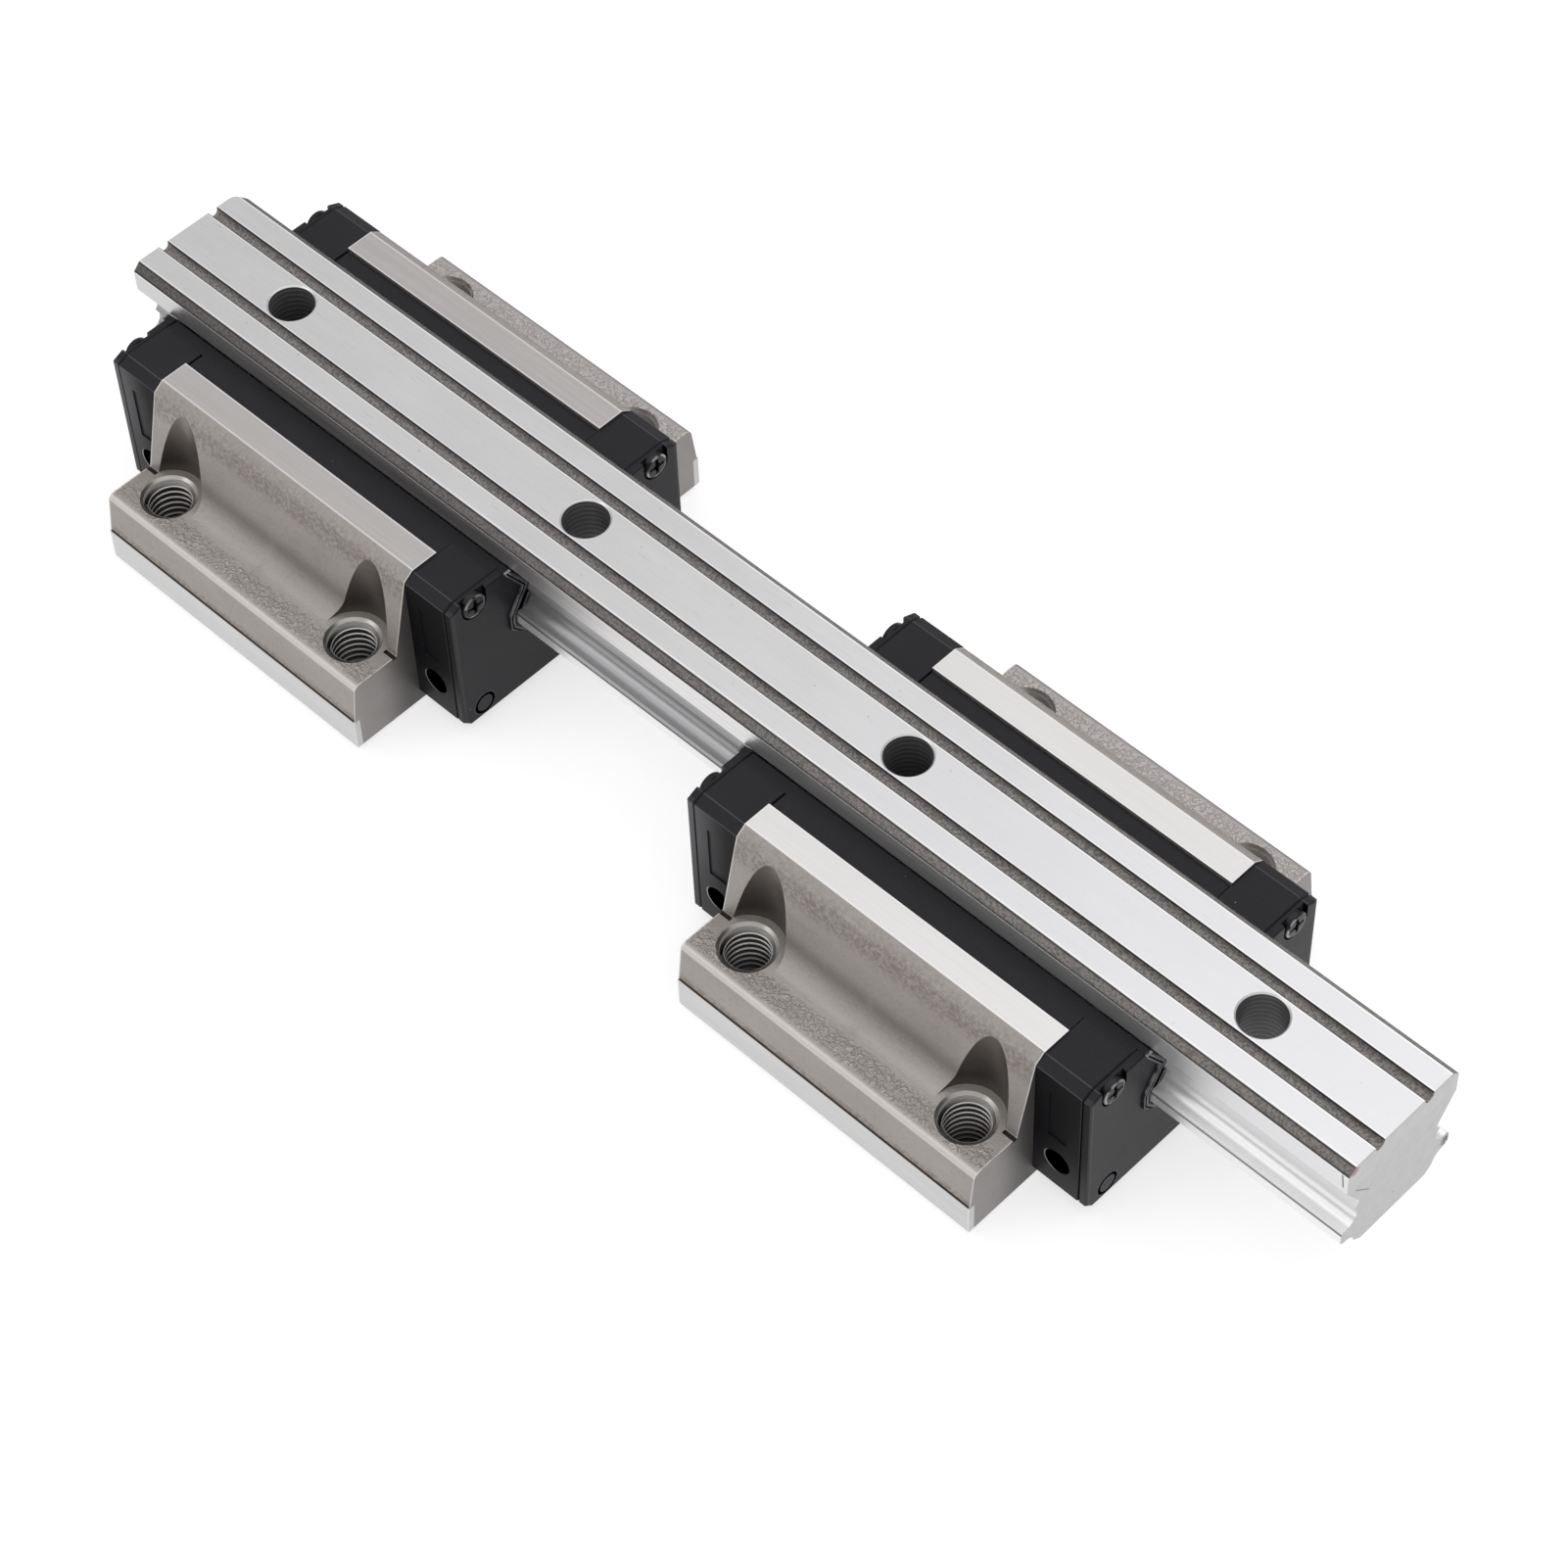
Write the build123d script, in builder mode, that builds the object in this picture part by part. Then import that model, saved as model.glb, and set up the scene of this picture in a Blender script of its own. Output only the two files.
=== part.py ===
import os

from build123d import *

os.makedirs("parts", exist_ok=True)

# Profile rail guide with two flanged carriages, millimetres.
# X runs along the rail, Y across it, Z up. The guide lies upside down on the
# mounting faces of its carriages, so z = 0 is where a table bolts on and the
# rail's base face is on top.

# Overall heights
guide_height = 42.0
rail_height = 26.0

# Rail
rail_length = 300.0
rail_width = 28.0
rail_edge_chamfer = 1.7
rail_side_height = 6.4
rail_waist_width = 19.8
rail_waist_from_base = 12.8
rail_tip_width = 27.9
rail_tip_from_base = 19.3
rail_tip_height = 2.2
rail_head_width = 17.8
rail_head_break = 0.4
rail_corner_radius = 1.5

# Ball tracks: four rows, shared by rail and carriage
ball_diameter = 4.762
track_conformity = 0.52
row_spacing_y = 25.4
row_spacing_z = 8.5

# Rail bolt holes
rail_hole_pitch = 80.0
rail_hole_count = 4
rail_hole_radius = 4.5
rail_hole_break = 0.3
rail_counterbore_radius = 7.0
rail_counterbore_depth = 12.0

# Two long grooves in the rail's base face
base_groove_spacing = 12.55
base_groove_width = 2.15
base_groove_depth = 1.5

# Carriage block
block_length = 69.7
block_width = 90.0
datum_band_height = 8.3
skin_step = 0.3
skin_draft = 1.1
flange_height = 17.3
flange_edge_radius = 1.4
leg_below_rail_base = 6.0
leg_outer_width = 53.4
leg_inner_width = 41.5
leg_shoulder_width = 57.8
leg_shoulder_height = 34.4
wall_foot_width = 66.3
wall_foot_radius = 4.5
mounting_face_break = 1.2

# Small notch at the foot of each wall, at the +X end of the block
foot_notch_width = 0.9
foot_notch_length = 2.6
foot_notch_depth = 0.4
foot_notch_from_wall = 0.6

# Carriage bolt pattern
bolt_end_distance = 8.85
bolt_edge_distance = 9.0
tapped_radius = 5.0
tapped_mouth_break = 0.55
scallop_radius = 6.9

# Channel of the block around the rail
channel_clearance = 1.3
strip_seat_depth = 4.4

# End caps
cap_thickness = 10.4
cap_foot = 2.2
cap_top_drop = 0.5
cap_width = 58.0
cap_shoulder_width = 53.1
cap_shoulder_drop = 1.1
cap_foot_break = 1.6
cap_rim_break = 0.25
cap_clearance = 0.9
port_radius = 2.7
port_depth = 3.5
port_from_block = 5.5
port_height = 11.0
panel_length = 4.2
panel_height = 12.6
panel_depth = 0.3
panel_from_block = 5.2
panel_centre_height = 23.5

# End seals
seal_thickness = 1.85
seal_inset = 0.05
seal_edge_radius = 0.5
seal_window = 1.7
lip_clearance = 0.3
lip_proud = 0.55
screw_pocket_radius = 3.05
screw_pocket_depth = 1.0
screw_spacing = 46.4
screw_from_top = 2.6

# Retainer strips between the legs and the rail
strip_top_drop = 0.8
strip_gap = 0.25
strip_clearance = 0.15
strip_end_gap = 0.3
tongue_width = 2.65
tongue_thickness = 1.6
tongue_gap = 0.1

# Where the carriages stand, from the rail's -X and +X ends to their middles
carriage_a_from_end = 56.9
carriage_b_from_end = 88.8

# Levels and half sizes worked out from the sizes above
leg_height = guide_height - leg_below_rail_base
base_z = guide_height
head_z = guide_height - rail_height
tip_low_z = base_z - rail_tip_from_base - rail_tip_height
tip_mid_z = tip_low_z + rail_tip_height / 2
track_radius = track_conformity * ball_diameter
cap_top_z = leg_height - cap_top_drop
cap_face_x = block_length / 2 + cap_thickness
seal_face_x = cap_face_x + seal_thickness
strip_top_z = leg_height - strip_top_drop
strip_seat_z = leg_height - strip_seat_depth
strip_inner_y = rail_width / 2 + strip_clearance
strip_outer_y = leg_inner_width / 2 - strip_gap
skin_top_width = block_width - 2 * skin_step - 2 * skin_draft
bolt_pitch_x = block_length - 2 * bolt_end_distance
bolt_pitch_y = block_width - 2 * bolt_edge_distance
carriage_a_x = carriage_a_from_end - rail_length / 2
carriage_b_x = rail_length / 2 - carriage_b_from_end


def half_profile(points):
    """Close a half outline given as (y, z) points by mirroring it about the middle plane."""
    Polyline(*points)
    mirror(about=Plane.YZ)


def rail_points():
    """Half outline of the rail without its tracks, from the base face to the head face."""
    return [
        (0, base_z),
        (rail_width / 2 - rail_edge_chamfer, base_z),
        (rail_width / 2, base_z - rail_edge_chamfer),
        (rail_width / 2, base_z - rail_side_height),
        (rail_waist_width / 2, base_z - rail_waist_from_base),
        (rail_tip_width / 2, base_z - rail_tip_from_base),
        (rail_tip_width / 2, tip_low_z),
        (rail_head_width / 2, head_z + rail_head_break),
        (rail_head_width / 2 - rail_head_break, head_z),
        (0, head_z),
    ]


def block_points():
    """Half outline of a carriage block, from the mounting face up the flange and wall to the strip seat."""
    return [
        (0, 0),
        (block_width / 2, 0),
        (block_width / 2, datum_band_height),
        (block_width / 2 - skin_step, datum_band_height + skin_step),
        (skin_top_width / 2, flange_height),
        (wall_foot_width / 2, flange_height),
        (leg_shoulder_width / 2, leg_shoulder_height),
        (leg_outer_width / 2, leg_height),
        (leg_inner_width / 2, leg_height),
        (leg_inner_width / 2, strip_seat_z),
        (0, strip_seat_z),
    ]


def ball_rows():
    """Centres of the four loaded ball rows in the cross-section."""
    return [
        (side * row_spacing_y / 2, tip_mid_z + level * row_spacing_z / 2)
        for side in (-1, 1)
        for level in (-1, 1)
    ]


def rail_envelope(gap, follow_tracks=False):
    """Rail outline grown by a gap, as a face to take out of a piece that the rail passes through."""
    with BuildSketch(mode=Mode.PRIVATE) as grown:
        with BuildLine():
            half_profile(rail_points())
        make_face()
        offset(amount=gap, kind=Kind.INTERSECTION)
        if follow_tracks:
            with Locations(*ball_rows()):
                Circle(track_radius - gap, mode=Mode.SUBTRACT)
    return grown.sketch


def cap_points(inset):
    """Half outline of an end cap or seal, drawn in by an inset."""
    foot = cap_foot + inset
    top = cap_top_z - inset
    side = cap_width / 2 - inset
    return [
        (0, foot),
        (side - cap_foot_break, foot),
        (side, foot + cap_foot_break),
        (side, top - cap_shoulder_drop),
        (cap_shoulder_width / 2 - inset, top),
        (0, top),
    ]


def outline_rims(face):
    """Edges of a cap or seal face along its outline, without those of the window round the rail."""
    window_y = rail_width / 2 + seal_window + seal_inset
    return [e for e in face.edges()
            if abs(e.center().Y) > window_y or e.center().Z < cap_foot + cap_rim_break]


# Rail
with BuildPart() as rail:
    with BuildSketch(Plane.YZ.offset(-rail_length / 2)):
        with BuildLine():
            half_profile(rail_points())
        make_face()
        with Locations(*ball_rows()):
            Circle(track_radius, mode=Mode.SUBTRACT)
        with Locations((-base_groove_spacing / 2, base_z), (base_groove_spacing / 2, base_z)):
            SlotCenterToCenter(2 * base_groove_depth - base_groove_width, base_groove_width,
                               rotation=90, mode=Mode.SUBTRACT)
    extrude(amount=rail_length)
    with BuildSketch(Plane.XY.offset(head_z)):
        with GridLocations(rail_hole_pitch, 1, rail_hole_count, 1):
            Circle(rail_hole_radius)
    extrude(amount=rail_height, mode=Mode.SUBTRACT)
    with BuildSketch(Plane.XY.offset(head_z)):
        with GridLocations(rail_hole_pitch, 1, rail_hole_count, 1):
            Circle(rail_counterbore_radius)
    extrude(amount=rail_counterbore_depth, mode=Mode.SUBTRACT)
    hole_rims = rail.edges().filter_by(GeomType.CIRCLE).filter_by(Plane.XY)
    chamfer(hole_rims.group_by(Axis.Z)[-1], rail_hole_break)
    corner_edges = [e for e in rail.edges().group_by(Axis.X)[0]
                    if e.center().Y > (rail_width - rail_edge_chamfer) / 2 - rail_edge_chamfer / 2
                    and e.center().Z > base_z - rail_side_height]
    fillet(corner_edges, rail_corner_radius)

# Carriage block
with BuildPart() as block:
    with BuildSketch(Plane.YZ.offset(-block_length / 2)):
        with BuildLine():
            half_profile(block_points())
        make_face()
    extrude(amount=block_length)
    # Between the bolt holes the foot of each wall is rounded, and beyond them it is cut square
    with BuildSketch(Plane.YZ.offset(-bolt_pitch_x / 2)) as middle:
        with BuildLine():
            half_profile(block_points())
        make_face()
        wall_feet = [v for v in middle.vertices()
                     if abs(abs(v.X) - wall_foot_width / 2) < 0.01 and abs(v.Y - flange_height) < 0.01]
        fillet(wall_feet, wall_foot_radius)
    extrude(amount=bolt_pitch_x)
    flange_rims = [e for e in block.edges().filter_by(Axis.X)
                   if abs(abs(e.center().Y) - skin_top_width / 2) < 0.01
                   and abs(e.center().Z - flange_height) < 0.01]
    fillet(flange_rims, flange_edge_radius)
    chamfer(block.faces().sort_by(Axis.Z)[0].edges(), mounting_face_break)
    with BuildSketch(Plane.YZ.offset(-block_length / 2)):
        add(rail_envelope(channel_clearance))
        with Locations(*ball_rows()):
            Circle(track_radius)
    extrude(amount=block_length, mode=Mode.SUBTRACT)
    with BuildSketch(Plane.XY.offset(flange_height - foot_notch_depth)):
        with GridLocations(block_length - foot_notch_length,
                           wall_foot_width + 2 * foot_notch_from_wall, 2, 2):
            Rectangle(foot_notch_length, foot_notch_width)
    extrude(amount=foot_notch_depth, mode=Mode.SUBTRACT)
    # A scallop in each wall clears the heads of screws put in from this side
    with BuildSketch(Plane.XY.offset(flange_height)):
        with GridLocations(bolt_pitch_x, bolt_pitch_y, 2, 2):
            Circle(scallop_radius)
    extrude(amount=leg_height, mode=Mode.SUBTRACT)
    with BuildSketch():
        with GridLocations(bolt_pitch_x, bolt_pitch_y, 2, 2):
            Circle(tapped_radius)
    extrude(amount=flange_height, mode=Mode.SUBTRACT)
    tapped_rims = block.edges().filter_by(GeomType.CIRCLE).filter_by(Plane.XY)
    tapped_rims = tapped_rims.filter_by(lambda e: abs(e.radius - tapped_radius) < 0.001)
    chamfer(tapped_rims.group_by(Axis.Z)[-1], tapped_mouth_break)

# End cap on the +X end of a block
with BuildPart() as cap_right:
    with BuildSketch(Plane.YZ.offset(block_length / 2)):
        with BuildLine():
            half_profile(cap_points(0))
        make_face()
        add(rail_envelope(cap_clearance), mode=Mode.SUBTRACT)
    extrude(amount=cap_thickness)
    chamfer(outline_rims(cap_right.faces().sort_by(Axis.X)[-1]), cap_rim_break)
    with BuildSketch(Plane.YZ.offset(block_length / 2)):
        for side in (-1, 1):
            with Locations((side * strip_inner_y, strip_top_z)):
                Rectangle(2 * (tongue_width + tongue_gap), 2 * (tongue_thickness + tongue_gap))
    extrude(amount=cap_thickness, mode=Mode.SUBTRACT)
    for side in (-1, 1):
        side_face = Plane(origin=(block_length / 2, side * cap_width / 2, 0),
                          x_dir=(1, 0, 0), z_dir=(0, side, 0))
        with BuildSketch(side_face):
            with Locations((port_from_block, -side * port_height)):
                Circle(port_radius)
        extrude(amount=-port_depth, mode=Mode.SUBTRACT)
        with BuildSketch(side_face):
            with Locations((panel_from_block, -side * panel_centre_height)):
                Rectangle(panel_length, panel_height)
        extrude(amount=-panel_depth, mode=Mode.SUBTRACT)

# End seal on the outer face of the +X cap: a plate and a lip that stands proud and follows the tracks
with BuildPart() as seal_right:
    with BuildSketch(Plane.YZ.offset(cap_face_x)):
        with BuildLine():
            half_profile(cap_points(seal_inset))
        make_face()
        add(rail_envelope(seal_window), mode=Mode.SUBTRACT)
    extrude(amount=seal_thickness)
    chamfer(outline_rims(seal_right.faces().sort_by(Axis.X)[0]), cap_rim_break)
    fillet(outline_rims(seal_right.faces().sort_by(Axis.X)[-1]), seal_edge_radius)
    with BuildSketch(Plane.YZ.offset(cap_face_x)):
        add(rail_envelope(seal_window))
        with Locations((0, cap_top_z)):
            Rectangle(cap_width, cap_top_z, align=(Align.CENTER, Align.MAX), mode=Mode.INTERSECT)
        add(rail_envelope(lip_clearance, follow_tracks=True), mode=Mode.SUBTRACT)
    extrude(amount=seal_thickness + lip_proud)
    with BuildSketch(Plane.YZ.offset(seal_face_x)):
        for side in (-1, 1):
            with Locations((side * screw_spacing / 2, cap_top_z - screw_from_top)):
                Circle(screw_pocket_radius)
                Rectangle(2 * screw_pocket_radius, screw_from_top, align=(Align.CENTER, Align.MIN))
    extrude(amount=-screw_pocket_depth, mode=Mode.SUBTRACT)

# Retainer strip on the +Y side, held by a tongue in each cap
with BuildPart() as strip_far:
    with BuildSketch(Plane.YZ):
        with Locations((strip_inner_y, strip_top_z)):
            Rectangle(strip_outer_y - strip_inner_y, strip_top_z - strip_seat_z, align=(Align.MIN, Align.MAX))
    extrude(amount=block_length / 2 - strip_end_gap, both=True)
    with BuildSketch(Plane.YZ):
        with Locations((strip_inner_y, strip_top_z)):
            Rectangle(tongue_width, tongue_thickness, align=(Align.MIN, Align.MAX))
    extrude(amount=cap_face_x - tongue_gap, both=True)

# The opposite hand of each carriage piece
with BuildPart() as cap_left:
    mirror(cap_right.part, about=Plane.YZ)
with BuildPart() as seal_left:
    mirror(seal_right.part, about=Plane.YZ)
with BuildPart() as strip_near:
    mirror(strip_far.part, about=Plane.XZ)

# Put both carriages on the rail and write every piece
rail.part.label = "rail"
export_step(rail.part, "parts/rail.step")
pieces = {
    "block": block,
    "cap_left": cap_left,
    "cap_right": cap_right,
    "seal_left": seal_left,
    "seal_right": seal_right,
    "strip_near": strip_near,
    "strip_far": strip_far,
}
for carriage, centre_x in (("carriage_a", carriage_a_x), ("carriage_b", carriage_b_x)):
    for name, piece in pieces.items():
        placed = piece.part.moved(Location((centre_x, 0, 0)))
        placed.label = f"{carriage}_{name}"
        export_step(placed, f"parts/{carriage}_{name}.step")
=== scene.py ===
"""Looks of a profile rail guide with two flanged carriages that lie on their mounting faces.

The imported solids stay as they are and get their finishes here. Screws and thread ridges are added with
Geometry Nodes. Shading is placed by object coordinates, in millimetres, because rail and carriages are
prismatic: a line of the cross-section is a line along the whole piece.
"""

import logging
import math
from dataclasses import dataclass
from enum import Enum
from typing import Callable, Iterable, Optional, Sequence, Union

import bpy
from bpy.types import Material, Node, NodeSocket, Object
from mathutils import Matrix, Vector

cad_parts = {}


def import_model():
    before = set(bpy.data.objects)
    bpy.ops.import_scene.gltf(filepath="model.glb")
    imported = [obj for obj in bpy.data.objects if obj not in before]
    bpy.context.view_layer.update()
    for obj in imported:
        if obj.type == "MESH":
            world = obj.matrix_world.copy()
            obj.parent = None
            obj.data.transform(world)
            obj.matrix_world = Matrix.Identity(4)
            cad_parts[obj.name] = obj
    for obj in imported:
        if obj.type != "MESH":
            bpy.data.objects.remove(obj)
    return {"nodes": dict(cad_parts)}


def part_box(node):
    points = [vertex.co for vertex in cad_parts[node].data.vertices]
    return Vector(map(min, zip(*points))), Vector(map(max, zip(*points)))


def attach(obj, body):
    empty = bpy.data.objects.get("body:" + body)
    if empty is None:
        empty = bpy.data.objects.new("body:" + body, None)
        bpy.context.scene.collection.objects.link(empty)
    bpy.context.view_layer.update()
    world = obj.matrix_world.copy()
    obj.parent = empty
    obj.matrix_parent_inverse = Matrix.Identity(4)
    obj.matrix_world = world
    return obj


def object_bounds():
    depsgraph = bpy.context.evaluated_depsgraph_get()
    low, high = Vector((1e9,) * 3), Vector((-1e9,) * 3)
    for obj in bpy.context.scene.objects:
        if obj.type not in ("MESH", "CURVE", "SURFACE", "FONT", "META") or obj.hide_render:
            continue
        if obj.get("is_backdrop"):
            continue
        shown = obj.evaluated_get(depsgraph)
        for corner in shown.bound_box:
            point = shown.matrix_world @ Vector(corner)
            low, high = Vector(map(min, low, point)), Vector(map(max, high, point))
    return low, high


log = logging.getLogger("linear_guide")

MM = 0.001
Colour = tuple[float, float, float]
Tones = tuple[Colour, Colour]
Span = tuple[float, float]
Number = Union[float, "Value"]


def srgb(red: int, green: int, blue: int) -> Colour:
    """Turns display values into scene-linear ones.

    Args:
        red: Red, 0 to 255.
        green: Green, 0 to 255.
        blue: Blue, 0 to 255.

    Returns:
        The linear colour.
    """
    def linear(value: float) -> float:
        value /= 255.0
        return value / 12.92 if value <= 0.04045 else ((value + 0.055) / 1.055) ** 2.4
    return linear(red), linear(green), linear(blue)


class Slot(Enum):
    """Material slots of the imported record."""

    RAIL = "rail_steel"
    BLOCK = "block_steel"
    CAP = "cap_plastic"
    SEAL = "seal_rubber"
    STRIP = "strip_plastic"


class Side(Enum):
    """The two ends of a carriage along X."""

    LEFT = -1
    RIGHT = 1


def scalar(operation: str) -> Callable:
    """Operator method that makes one maths node of a Value and what stands beside it."""
    return lambda value, *others: value.graph.math(operation, value, *others)


@dataclass(frozen=True)
class Value:
    """A node output that can be reckoned with like a number, and with & | ~ like a mask."""

    graph: "Graph"
    out: NodeSocket

    __add__ = __radd__ = scalar("ADD")
    __sub__ = scalar("SUBTRACT")
    __mul__ = __rmul__ = __and__ = scalar("MULTIPLY")
    __or__ = scalar("MAXIMUM")
    __abs__ = scalar("ABSOLUTE")

    def __rsub__(self, other: float) -> "Value":
        return self.graph.math("SUBTRACT", other, self)

    def __invert__(self) -> "Value":
        return 1.0 - self


class Nodes:
    """A node tree with a short way to make its nodes."""

    def __init__(self, tree: bpy.types.NodeTree) -> None:
        """Keeps the tree and empties it."""
        self.tree = tree
        self.tree.nodes.clear()

    def node(self, kind: str, inputs: Optional[dict] = None, **settings: object) -> Node:
        """Makes a node.

        Args:
            kind: Type name of the node.
            inputs: What feed takes, by socket name or index.
            **settings: Attributes to set before the inputs.

        Returns:
            The new node.
        """
        made = self.tree.nodes.new(kind)
        for name, setting in settings.items():
            setattr(made, name, setting)
        for key, value in (inputs or {}).items():
            self.feed(made.inputs[key], value)
        return made

    def feed(self, socket: NodeSocket, value: object) -> None:
        """Joins a value to a socket, or sets the socket to a constant.

        Args:
            socket: The input.
            value: A Value, an output socket, a number or a tuple.
        """
        value = value.out if isinstance(value, Value) else value
        if isinstance(value, NodeSocket):
            self.tree.links.new(value, socket)
        elif isinstance(value, tuple) and socket.type == "RGBA":
            socket.default_value = (*value, 1.0)
        else:
            socket.default_value = value


class Graph(Nodes):
    """Node tree of one material, with short ways to its masks and colours."""

    def __init__(self, name: str) -> None:
        """Starts a material with a Principled shader and the point in millimetres.

        Args:
            name: Name of the material.
        """
        self.material = bpy.data.materials.new(name)
        self.material.use_nodes = True
        super().__init__(self.material.node_tree)
        self.shader = self.node("ShaderNodeBsdfPrincipled")
        self.output = self.node("ShaderNodeOutputMaterial")
        self.feed(self.output.inputs["Surface"], self.shader.outputs["BSDF"])
        metres = self.node("ShaderNodeTexCoord").outputs["Object"]
        self.point = self.vector("MULTIPLY", metres, (1 / MM,) * 3)
        split = self.node("ShaderNodeSeparateXYZ", {"Vector": self.point})
        self.x, self.y, self.z = (Value(self, split.outputs[axis]) for axis in "XYZ")
        normal = self.node("ShaderNodeNewGeometry").outputs["Normal"]
        facing = self.node("ShaderNodeSeparateXYZ", {"Vector": normal})
        self.nx, self.ny, self.nz = (Value(self, facing.outputs[axis]) for axis in "XYZ")

    def math(self, operation: str, *terms: Number) -> Value:
        """Scalar maths on one to three terms."""
        made = self.node("ShaderNodeMath", dict(enumerate(terms)), operation=operation)
        return Value(self, made.outputs[0])

    def vector(self, operation: str, *terms: Union[Value, tuple]) -> Value:
        """Vector maths on one or two terms."""
        made = self.node("ShaderNodeVectorMath", dict(enumerate(terms)), operation=operation)
        return Value(self, made.outputs["Value" if operation in ("LENGTH", "DISTANCE") else "Vector"])

    def rise(self, value: Value, low: float, high: float, at: float = 0.0) -> Value:
        """Smooth step from 0 at low to 1 at high, both measured from at."""
        made = self.node("ShaderNodeMapRange", {"Value": value, "From Min": at + low, "From Max": at + high},
                         interpolation_type="SMOOTHSTEP")
        return Value(self, made.outputs["Result"])

    def band(self, value: Value, low: float, high: float, soft: float = 0.06, at: float = 0.0) -> Value:
        """1 between low and high, measured from at, with edges of the given softness, and 0 outside."""
        return self.rise(value, -soft, soft, at + low) & ~self.rise(value, -soft, soft, at + high)

    def spread(self, value: Value, low: float, high: float) -> Value:
        """Maps 0 to 1 onto low to high without clamping."""
        return value * (high - low) + low

    def noise(self, stretch: tuple, detail: float = 3.0, rough: float = 0.55, warp: float = 0.0,
              shift: float = 0.0) -> Value:
        """Noise over the point.

        Args:
            stretch: Frequencies along X, Y and Z, per millimetre.
            detail: Octaves.
            rough: Weight of the finer octaves.
            warp: Distortion.
            shift: Moves the pattern, so that two finishes differ.

        Returns:
            A value about 0.5.
        """
        apart = (shift, shift * 0.7, shift * 1.3)
        where = self.vector("ADD", self.vector("MULTIPLY", self.point, stretch), apart)
        made = self.node("ShaderNodeTexNoise", {"Vector": where, "Scale": 1.0, "Detail": detail,
                                                "Roughness": rough, "Distortion": warp})
        return Value(self, made.outputs[0])

    def cells(self, scale: float, shift: float = 0.0) -> Value:
        """Distance to the nearest of a scatter of points, for specks and pits."""
        where = self.vector("ADD", self.vector("MULTIPLY", self.point, (scale,) * 3), (shift,) * 3)
        made = self.node("ShaderNodeTexVoronoi", {"Vector": where, "Scale": 1.0})
        return Value(self, made.outputs["Distance"])

    def mix(self, factor: Number, low: Union[Value, tuple], high: Union[Value, tuple]) -> Value:
        """Colour between low and high."""
        made = self.node("ShaderNodeMix", {0: factor, 6: low, 7: high}, data_type="RGBA")
        return Value(self, made.outputs[2])

    def layers(self, base: Union[Value, tuple], *coats: tuple) -> Value:
        """Lays colours over a base.

        Args:
            base: Colour underneath.
            *coats: Pairs of a mask and a colour, laid in order.

        Returns:
            The colour.
        """
        for mask, colour in coats:
            base = self.mix(mask, base, colour)
        return base

    def levels(self, base: Number, *coats: tuple) -> Value:
        """Lays numbers over a base number, each by its mask."""
        for mask, level in coats:
            base = self.math("MULTIPLY_ADD", mask, self.math("SUBTRACT", level, base), base)
        return base

    def bump(self, height: Value, depth: float) -> Value:
        """Normal bumped by a height of 0 to 1, with the depth in millimetres."""
        made = self.node("ShaderNodeBump", {"Height": height, "Distance": depth * MM, "Strength": 1.0})
        return Value(self, made.outputs["Normal"])

    def ring(self, x: Number, y: Number) -> Value:
        """Distance from the point that x and y are measured from."""
        return self.math("SQRT", self.math("ADD", self.math("POWER", x, 2.0), self.math("POWER", y, 2.0)))

    def chain(self, x: Value, y: Value, points: Sequence[tuple[float, float]]) -> Value:
        """Distance in a section from a chain of straight lines.

        Args:
            x: First coordinate of the section.
            y: Second coordinate of the section.
            points: Corners of the chain.

        Returns:
            The distance.
        """
        nearest: Optional[Value] = None
        for (ax, ay), (bx, by) in zip(points, points[1:]):
            dx, dy = bx - ax, by - ay
            length = dx * dx + dy * dy
            share = ((x - ax) * (dx / length)) + ((y - ay) * (dy / length))
            share = self.math("MINIMUM", self.math("MAXIMUM", share, 0.0), 1.0)
            away = self.ring(x - ax - share * dx, y - ay - share * dy)
            nearest = away if nearest is None else self.math("MINIMUM", nearest, away)
        return nearest

    def darken(self, mask: Value) -> None:
        """Takes the light off where the mask is 1, for gaps and deep lines."""
        dark = self.node("ShaderNodeBsdfDiffuse", {"Color": (0.0, 0.0, 0.0)})
        blend = self.node("ShaderNodeMixShader", {0: mask, 1: self.shader.outputs["BSDF"], 2: dark.outputs["BSDF"]})
        self.feed(self.output.inputs["Surface"], blend.outputs["Shader"])

    def finish(self, **sockets: object) -> Material:
        """Feeds the shader's sockets, named with underscores for spaces.

        Args:
            **sockets: Base_Color, Roughness, Metallic and so on.

        Returns:
            The material.
        """
        for name, value in sockets.items():
            self.feed(self.shader.inputs[name.replace("_", " ")], value)
        return self.material


@dataclass(frozen=True)
class RailSize:
    """Cross-section of the rail and its bolt holes, in millimetres."""

    length: float = 300.0
    base_z: float = 42.0
    half_width: float = 14.0
    chamfer: float = 1.7
    side_low: float = 35.6
    waist_z: float = 29.2
    tip_z: float = 22.7
    groove_y: float = 6.275
    groove_half: float = 1.075
    groove_depth: float = 2.0
    hole_pitch: float = 80.0
    hole_radius: float = 4.5


@dataclass(frozen=True)
class BlockSize:
    """Places on a carriage block, in millimetres from its middle."""

    half_length: float = 34.85
    half_width: float = 45.0
    band_top: float = 8.3
    flange_z: float = 17.3
    scallop_radius: float = 6.9
    hole_x: float = 26.0
    hole_y: float = 36.0
    hole_radius: float = 5.0
    mouth_break: float = 0.55
    leg_z: float = 36.0
    leg_outer: float = 26.7
    leg_inner: float = 20.75
    shoulder_z: float = 34.4
    notch_y: float = 33.75
    notch_half: float = 0.46
    notch_length: float = 2.65
    thread_pitch: float = 1.5
    crest_radius: float = 4.25
    hammer_y: Span = (38.2, 42.2)
    foot_y: Span = (35.2, 38.0)
    far_y: Span = (30.0, 36.0)
    end_shade_y: Span = (39.0, 30.0)


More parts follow.
